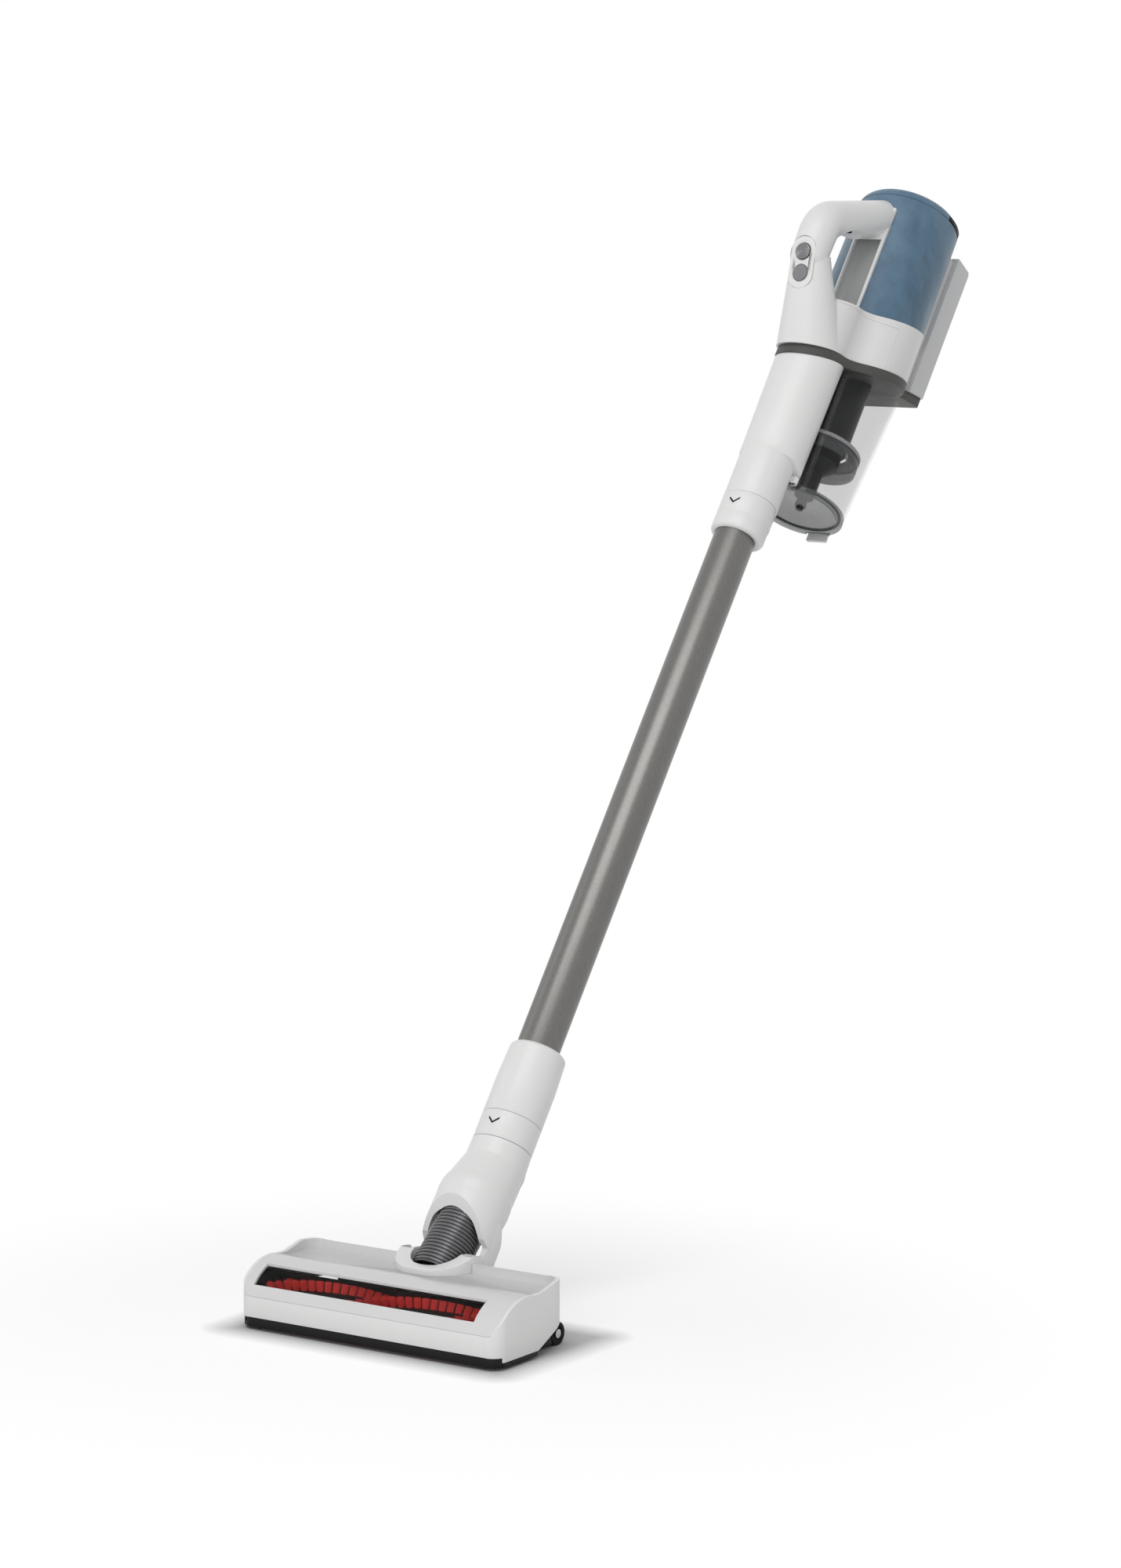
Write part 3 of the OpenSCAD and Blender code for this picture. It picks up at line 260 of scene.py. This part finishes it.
slotOf = {s["node"]: s["material_slot"] for s in frame["record"]["subparts"]}
for name, node in nodes.items():
    node.data.materials.clear()
    node.data.materials.append(finishes[slotOf[name]])

paleParts = {"button_plate": "white_shell", "door_latch": "light_shell"}
for name, look in paleParts.items():
    nodes[name].data.materials.clear()
    nodes[name].data.materials.append(finishes[look])
print("finishes:", len(finishes))


# edges

edgeRounding = {
    # width in millimetres of the rounding on each moulded part's corners
    "head_front": 0.4, "end_cap_left": 1.2, "end_cap_right": 1.2, "bezel": 0.5, "brush_window": 0.3,
    "top_tray": 0.5, "head_rear": 0.4, "head_base": 0.5, "front_strip": 0.4, "hose_collar": 0.8,
    "neck_shell": 0.4, "lower_collar": 0.4, "lower_sleeve": 0.4, "lower_button": 0.4, "end_ring": 0.5,
    "marked_ring": 0.4, "upper_button": 0.4, "inlet_duct": 0.5, "foot_rim": 1.0,
    "spine_strip": 0.3, "housing_skirt": 0.5, "button_plate": 0.25, "power_button": 0.3, "mode_button": 0.3,
    "motor_housing": 0.4, "housing_lid": 0.4, "lid_clip": 0.3, "battery_case": 1.0, "battery_button": 0.4,
    "dust_bin": 0.3, "bin_door": 0.4, "door_boss": 0.4, "door_latch": 0.4,
    "wheel_left": 0.6, "wheel_right": 0.6,
    "roller_left": 0.4, "roller_right": 0.4, "wand_tube": 0.3,
}


def roundEdges(node, width, angle=35):
    weld = node.modifiers.new("weld", "WELD")
    weld.merge_threshold = 0.000004
    bevel = node.modifiers.new("edge", "BEVEL")
    bevel.width = width * mm
    bevel.segments = 3
    bevel.limit_method = "ANGLE"
    bevel.angle_limit = math.radians(angle)
    bevel.use_clamp_overlap = True
    for poly in node.data.polygons:
        poly.use_smooth = True


for name, width in edgeRounding.items():
    roundEdges(nodes[name], width)
print("edges rounded:", len(edgeRounding))


# small builders

def meshPiece(name, verts, faces, finish, body, smooth=True):
    mesh = bpy.data.meshes.new(name)
    mesh.from_pydata([tuple(v) for v in verts], [], faces)
    mesh.update()
    piece = bpy.data.objects.new(name, mesh)
    bpy.context.scene.collection.objects.link(piece)
    mesh.materials.append(finishes[finish])
    for poly in mesh.polygons:
        poly.use_smooth = smooth
    bm = bmesh.new()
    bm.from_mesh(mesh)
    bmesh.ops.recalc_face_normals(bm, faces=bm.faces)
    bm.to_mesh(mesh)
    bm.free()
    if body:
        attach(piece, body)
    return piece


def turnedShape(profile, count, place):
    # spins a closed outline of (radius, height) pairs, in millimetres, round the third axis of place
    verts, faces = [], []
    n = len(profile)
    for k in range(count):
        a = 2 * math.pi * k / count
        for r, z in profile:
            verts.append(place @ Vector((r * mm * math.cos(a), r * mm * math.sin(a), z * mm)))
    for k in range(count):
        k2 = (k + 1) % count
        for i in range(n):
            i2 = (i + 1) % n
            faces.append((k * n + i, k2 * n + i, k2 * n + i2, k * n + i2))
    return verts, faces


# hose

hoseLook = {"foot": (0, -19.6, -2), "lean": 11.3, "ribs": 21, "pitch": 3.2, "outer": 20.5, "valley": 18.4,
            "inner": 17.9, "around": 96}


def ribbedHose():
    outline = []
    steps = 10
    total = hoseLook["ribs"] * steps
    for i in range(total + 1):
        phase = (i % steps) / steps
        bulge = abs(math.cos(math.pi * phase)) ** 0.7
        r = hoseLook["valley"] + (hoseLook["outer"] - hoseLook["valley"]) * bulge
        outline.append((r, i / steps * hoseLook["pitch"]))
    top = hoseLook["ribs"] * hoseLook["pitch"]
    outline += [(hoseLook["inner"], top), (hoseLook["inner"], 0)]
    x, back, up = hoseLook["foot"]
    place = (wandFrame @ Matrix.Translation(Vector((x, back, up)) * mm)
             @ Matrix.Rotation(math.radians(-hoseLook["lean"]), 4, "X"))
    verts, faces = turnedShape(outline, hoseLook["around"], place)
    piece = meshPiece("ribbedHose", verts, faces, "hose_black", None)
    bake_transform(piece)
    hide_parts("hose")
    return piece


ribbedHose()
print("hose made")


# brush tufts

tuftLook = {"rows": 4, "perRow": 30, "first": -101.0, "step": 6.6, "turnPer": -0.968, "topAt": -61.0,
            "wide": 2.35, "deep": 1.6, "low": 9.8, "tip": 19.7, "across": 8, "along": 4, "strand": 0.27}


def brushTufts():
    spin = joints["brush_spin"]["pos_m"]
    verts, faces = [], []

    def strand(base, tip, side, r):
        # one stiff bristle: a thin four sided rod
        axis = (tip - base).normalized()
        a = axis.cross(side).normalized() * r
        b = axis.cross(a).normalized() * r
        start = len(verts)
        for end, k in ((base, 1.0), (tip, 0.8)):
            for p in (a, b, -a, -b):
                verts.append(end + p * k)
        for i in range(4):
            j = (i + 1) % 4
            faces.append((start + i, start + j, start + 4 + j, start + 4 + i))
        faces.append((start + 4, start + 5, start + 6, start + 7))
        faces.append((start + 3, start + 2, start + 1, start))

    for row in range(tuftLook["rows"]):
        for k in range(tuftLook["perRow"]):
            x = tuftLook["first"] + k * tuftLook["step"]
            angle = math.radians(tuftLook["turnPer"] * (x - tuftLook["topAt"]) + 90 * row)
            turn = Matrix.Translation(Vector(spin)) @ Matrix.Rotation(angle, 4, "X")
            for i in range(tuftLook["across"]):
                for j in range(tuftLook["along"]):
                    px = (i / (tuftLook["across"] - 1) - 0.5) * 2 * tuftLook["wide"]
                    py = (j / (tuftLook["along"] - 1) - 0.5) * 2 * tuftLook["deep"]
                    wob = math.sin(k * 7.3 + i * 2.1 + j * 4.7 + row)
                    tip = tuftLook["tip"] - 0.25 * abs(wob)
                    base = turn @ Vector(((x + px * 0.8) * mm, py * 0.8 * mm, tuftLook["low"] * mm))
                    end = turn @ Vector(((x + px + 0.12 * wob) * mm, (py + 0.2 * wob) * mm, tip * mm))
                    strand(base, end, wandSide, tuftLook["strand"] * mm)
    piece = meshPiece("bristleRows", verts, faces, "red_bristle", "brush", False)
    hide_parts("brush_tufts")
    return piece


brushTufts()
print("bristles made")


# dark lining of the brush chamber

def brushLining():
    look = {"radius": 21.4, "thick": 0.7, "left": -111.2, "right": 97.5, "open": (84, 151),
            "foot": (-46, 196),
            "hole": 4.2, "floor": 4.0}
    spin = Vector(joints["brush_spin"]["pos_m"])
    verts, faces = [], []

    def curve(r, degrees, x):
        a = math.radians(degrees)
        return spin + Vector((x * mm, r * mm * math.cos(a), r * mm * math.sin(a)))

    def sheet(first, last, count):
        start = len(verts)
        for i in range(count + 1):
            a = first + (last - first) * i / count
            for r in (look["radius"], look["radius"] + look["thick"]):
                for x in (look["left"], look["right"]):
                    verts.append(curve(r, a, x))
        for i in range(count):
            p, q = start + i * 4, start + i * 4 + 4
            faces.extend([(p, p + 1, q + 1, q), (p + 2, q + 2, q + 3, p + 3), (p, q, q + 2, p + 2),
                          (p + 1, p + 3, q + 3, q + 1)])
        faces.append((start, start + 2, start + 3, start + 1))
        end = start + count * 4
        faces.append((end, end + 1, end + 3, end + 2))

    def disc(x, thick):
        start = len(verts)
        count = 64
        for i in range(count):
            a = 360 * i / count
            for r in (look["hole"], look["radius"] + look["thick"]):
                for dx in (0, thick):
                    place = curve(r, a, x + dx)
                    place.z = max(place.z, look["floor"] * mm)
                    verts.append(place)
        for i in range(count):
            p, q = start + i * 4, start + ((i + 1) % count) * 4
            faces.extend([(p, q, q + 2, p + 2), (p + 1, p + 3, q + 3, q + 1), (p, p + 1, q + 1, q),
                          (p + 2, q + 2, q + 3, p + 3)])

    sheet(look["foot"][0], look["open"][0], 40)
    sheet(look["open"][1], look["foot"][1], 16)
    disc(look["left"] - 0.6, 0.6)
    disc(look["right"], 0.6)
    return meshPiece("brushLining", verts, faces, "black_plastic", "floor_head")


brushLining()
nodes["brush_core"].data.materials[0] = finishes["black_plastic"]
print("lining made")


# cyclone ring

def cycloneRing():
    look = {"back": 70.5, "low": 805, "high": 820, "outer": 34.5, "inner": 33.2, "rim": 3.6, "bore": 23.5,
            "sheet": 1.2, "around": 128}
    place = wandFrame @ Matrix.Translation(Vector((0, look["back"], 0)) * mm)
    rim = look["high"] - look["rim"]
    lip, roof = look["inner"] - 0.6, look["high"] - look["sheet"]
    outline = [(look["outer"], rim), (look["outer"], look["high"] - 0.5), (look["outer"] - 0.4, look["high"]),
               (look["bore"], look["high"]), (look["bore"], roof), (lip, roof), (lip, rim)]
    verts, faces = turnedShape(outline, look["around"], place)
    meshPiece("ringRim", verts, faces, "mesh_grey", "wand")
    skirt = [(look["outer"] - 0.2, look["low"]), (look["outer"] - 0.2, rim - 0.05),
             (look["inner"], rim - 0.05), (look["inner"], look["low"])]
    verts, faces = turnedShape(skirt, look["around"], place)
    piece = meshPiece("ringSkirt", verts, faces, "clear_door", "wand")
    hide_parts("mesh_band")


cycloneRing()
print("cyclone ring made")


# fine marks

def chevronMark(name, up, centreBack, radius, look):
    # a small arrow head printed round the front of a ring
    verts, faces = [], []
    half, drop, bar, thick = look["half"], look["drop"], look["bar"], look["thick"]
    steps = 8
    rows = []
    for i in range(-steps, steps + 1):
        x = half * i / steps
        z = up - drop / 2 + drop * abs(i) / steps
        rows.append((x, z))
    for x, z in rows:
        for lift, dz in ((0.02, 0), (0.02, bar), (thick, bar), (thick, 0)):
            r = radius + lift
            back = centreBack - math.sqrt(r * r - x * x)
            verts.append(alongWand(x, back, z + dz))
    for i in range(len(rows) - 1):
        a, b = i * 4, i * 4 + 4
        for k in range(4):
            k2 = (k + 1) % 4
            faces.append((a + k, b + k, b + k2, a + k2))
    faces.append((0, 1, 2, 3))
    last = (len(rows) - 1) * 4
    faces.append((last + 3, last + 2, last + 1, last))
    return meshPiece(name, verts, faces, "black_plastic", "wand", False)


def buttonDish():
    # a dished, ringed face on top of the power button
    look = {"rings": [(6.9, -0.35), (6.9, 0.05), (6.7, 0.3), (6.3, 0.38), (5.9, 0.3), (5.2, 0.08),
                      (4.9, 0.08),
                      (4.6, 0.2), (4.2, 0.2), (3.9, 0.06), (2.2, 0.03), (1.9, 0.14), (1.2, 0.14), (0.9, 0.04),
                      (0.25, 0.03), (0.25, -0.35)], "skin": 0.3, "around": 64}
    out = -Vector(joints["power_button_press"]["axis"]).normalized()
    if out.y > 0:
        out = -out
    button = nodes["power_button"]
    low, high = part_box("power_button")
    centre = (Vector(low) + Vector(high)) / 2
    points = [button.matrix_world @ v.co for v in button.data.vertices]
    top = max((v - centre).dot(out) for v in points)
    # the button's own axis passes through the middle of its round face
    face = [v for v in points if (v - centre).dot(out) > top - look["skin"] * mm]
    middle = sum(face, Vector()) / len(face)
    place = Matrix.Translation(middle) @ out.to_track_quat("Z", "Y").to_matrix().to_4x4()
    verts, faces = turnedShape(look["rings"], look["around"], place)
    meshPiece("buttonDish", verts, faces, "chrome", "power_button")


buttonDish()

markLook = {"half": 5.0, "drop": 4.4, "bar": 1.9, "thick": 0.08}
chevronMark("lowerArrow", 131.4, 2.7, 24.4, markLook)
chevronMark("upperArrow", 708.6, 2.8, 23.2, markLook)
print("marks made")


# studio

def lightPathWhite(tree):
    # true for rays that look straight at, mirror or see through to the background
    path = tree.nodes.new("ShaderNodeLightPath")
    first = tree.nodes.new("ShaderNodeMath")
    first.operation = "MAXIMUM"
    second = tree.nodes.new("ShaderNodeMath")
    second.operation = "MAXIMUM"
    tree.links.new(path.outputs["Is Camera Ray"], first.inputs[0])
    tree.links.new(path.outputs["Is Transmission Ray"], first.inputs[1])
    tree.links.new(first.outputs[0], second.inputs[0])
    tree.links.new(path.outputs["Is Glossy Ray"], second.inputs[1])
    return second


# distances in metres, lamps as place, size and watts
# shade and shadeReach give the tone and reach of the painted shade on the floor round the head
studioLook = {"ambient": 0.44, "floor": 0.9, "lift": 0.27, "shade": 0.6, "shadeReach": 0.03,
              "fadeFrom": 0.2, "fadeTo": 0.55, "floorReach": 14.0, "aim": (0, 0.36, 0.45),
              "lamps": {"keyLight": ((0.42, -0.96, 2.65), (2.2, 1.5), 25.0),
                        "fillLight": ((0.9, -2.6, 0.8), (1.2, 1.2), 17.0),
                        "sideLight": ((-2.2, -0.6, 1.2), (1.2, 1.6), 3.0)}}


def studioWorld():
    world = bpy.data.worlds.new("studio")
    bpy.context.scene.world = world
    world.use_nodes = True
    tree = world.node_tree
    tree.nodes.clear()
    out = tree.nodes.new("ShaderNodeOutputWorld")
    mix = tree.nodes.new("ShaderNodeMixShader")
    soft = tree.nodes.new("ShaderNodeBackground")
    soft.inputs["Color"].default_value = (1, 1, 1, 1)
    soft.inputs["Strength"].default_value = studioLook["ambient"]
    white = tree.nodes.new("ShaderNodeBackground")
    white.inputs["Color"].default_value = (1, 1, 1, 1)
    white.inputs["Strength"].default_value = 1.0
    tree.links.new(lightPathWhite(tree).outputs[0], mix.inputs[0])
    tree.links.new(soft.outputs[0], mix.inputs[1])
    tree.links.new(white.outputs[0], mix.inputs[2])
    tree.links.new(mix.outputs[0], out.inputs["Surface"])


def vectorStep(tree, operation, source, value=None):
    step = tree.nodes.new("ShaderNodeVectorMath")
    step.operation = operation
    tree.links.new(source, step.inputs[0])
    if value is not None:
        step.inputs[1].default_value = value
    return step


def studioFloor():
    mesh = bpy.data.meshes.new("floor")
    far = studioLook["floorReach"]
    mesh.from_pydata([(-far, -far, 0), (far, -far, 0), (far, far, 0), (-far, far, 0)], [], [(0, 1, 2, 3)])
    floor = bpy.data.objects.new("floor", mesh)
    bpy.context.scene.collection.objects.link(floor)
    mat = bpy.data.materials.new("floorWhite")
    mat.use_nodes = True
    tree = mat.node_tree
    tree.nodes.clear()
    out = tree.nodes.new("ShaderNodeOutputMaterial")
    matte = tree.nodes.new("ShaderNodeBsdfDiffuse")
    glow = tree.nodes.new("ShaderNodeEmission")
    # painted shade: close to the head the floor's colour and glow are lowered by distance from the head's
    # footprint
    spot = tree.nodes.new("ShaderNodeTexCoord")
    corners = [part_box(part) for part in ("head_front", "head_rear", "end_cap_left", "end_cap_right")]
    low = [min(c[0][i] for c in corners) for i in range(2)]
    high = [max(c[1][i] for c in corners) for i in range(2)]
    middle = [(low[i] + high[i]) / 2 for i in range(2)] + [0]
    half = [(high[i] - low[i]) / 2 for i in range(2)] + [1]
    shift = vectorStep(tree, "SUBTRACT", spot.outputs["Object"], middle)
    size = vectorStep(tree, "ABSOLUTE", shift.outputs["Vector"])
    past = vectorStep(tree, "SUBTRACT", size.outputs["Vector"], half)
    beyond = vectorStep(tree, "MAXIMUM", past.outputs["Vector"], (0, 0, 0))
    gap = vectorStep(tree, "LENGTH", beyond.outputs["Vector"])
    paintedShadeTone = linkRange(tree, gap.outputs["Value"], studioLook["shade"], studioLook["floor"])
    paintedShadeTone.inputs["From Max"].default_value = studioLook["shadeReach"]
    tree.links.new(paintedShadeTone.outputs["Result"], matte.inputs["Color"])
    paintedShadeGlow = linkRange(tree, gap.outputs["Value"], 0.0, studioLook["lift"])
    paintedShadeGlow.inputs["From Max"].default_value = studioLook["shadeReach"]
    tree.links.new(paintedShadeGlow.outputs["Result"], glow.inputs["Strength"])
    both = tree.nodes.new("ShaderNodeAddShader")
    tree.links.new(matte.outputs[0], both.inputs[0])
    tree.links.new(glow.outputs[0], both.inputs[1])
    # away from the machine the floor turns into the plain white backdrop
    white = tree.nodes.new("ShaderNodeEmission")
    white.inputs["Strength"].default_value = 1.0
    where = tree.nodes.new("ShaderNodeTexCoord")
    away = vectorStep(tree, "LENGTH", where.outputs["Object"])
    fade = tree.nodes.new("ShaderNodeMapRange")
    fade.interpolation_type = "SMOOTHSTEP"
    fade.inputs["From Min"].default_value = studioLook["fadeFrom"]
    fade.inputs["From Max"].default_value = studioLook["fadeTo"]
    tree.links.new(away.outputs["Value"], fade.inputs["Value"])
    seen = tree.nodes.new("ShaderNodeMixShader")
    tree.links.new(fade.outputs["Result"], seen.inputs[0])
    tree.links.new(both.outputs[0], seen.inputs[1])
    tree.links.new(white.outputs[0], seen.inputs[2])
    mix = tree.nodes.new("ShaderNodeMixShader")
    tree.links.new(lightPathWhite(tree).outputs[0], mix.inputs[0])
    tree.links.new(matte.outputs[0], mix.inputs[1])
    tree.links.new(seen.outputs[0], mix.inputs[2])
    tree.links.new(mix.outputs[0], out.inputs["Surface"])
    mesh.materials.append(mat)


def softLight(name, place, target, size, power):
    lamp = bpy.data.lights.new(name, "AREA")
    lamp.shape = "RECTANGLE"
    lamp.size, lamp.size_y = size
    lamp.energy = power
    obj = bpy.data.objects.new(name, lamp)
    bpy.context.scene.collection.objects.link(obj)
    obj.location = place
    aim = Vector(target) - Vector(place)
    obj.rotation_euler = aim.to_track_quat("-Z", "Y").to_euler()
    return obj


studioWorld()
studioFloor()
for name, (place, size, power) in studioLook["lamps"].items():
    softLight(name, place, studioLook["aim"], size, power)

viewLook = {"place": (2.1484, -2.9230, 0.9292), "turn": 34.446, "down": 7.896, "lens": 111.6,
            "sensor": 36, "farthest": 60}


def placeCamera():
    turn, down = math.radians(viewLook["turn"]), math.radians(viewLook["down"])
    right = Vector((math.cos(turn), math.sin(turn), 0))
    ahead = Vector((-math.sin(turn) * math.cos(down), math.cos(turn) * math.cos(down), -math.sin(down)))
    up = right.cross(ahead)
    data = bpy.data.cameras.new("view")
    data.lens = viewLook["lens"]
    data.sensor_width = viewLook["sensor"]
    data.clip_end = viewLook["farthest"]
    camera = bpy.data.objects.new("view", data)
    bpy.context.scene.collection.objects.link(camera)
    turned = Matrix((right, up, -ahead)).transposed().to_4x4()
    camera.matrix_world = Matrix.Translation(viewLook["place"]) @ turned
    bpy.context.scene.camera = camera


placeCamera()
bpy.context.scene.view_settings.view_transform = "Standard"
print("studio and camera set")
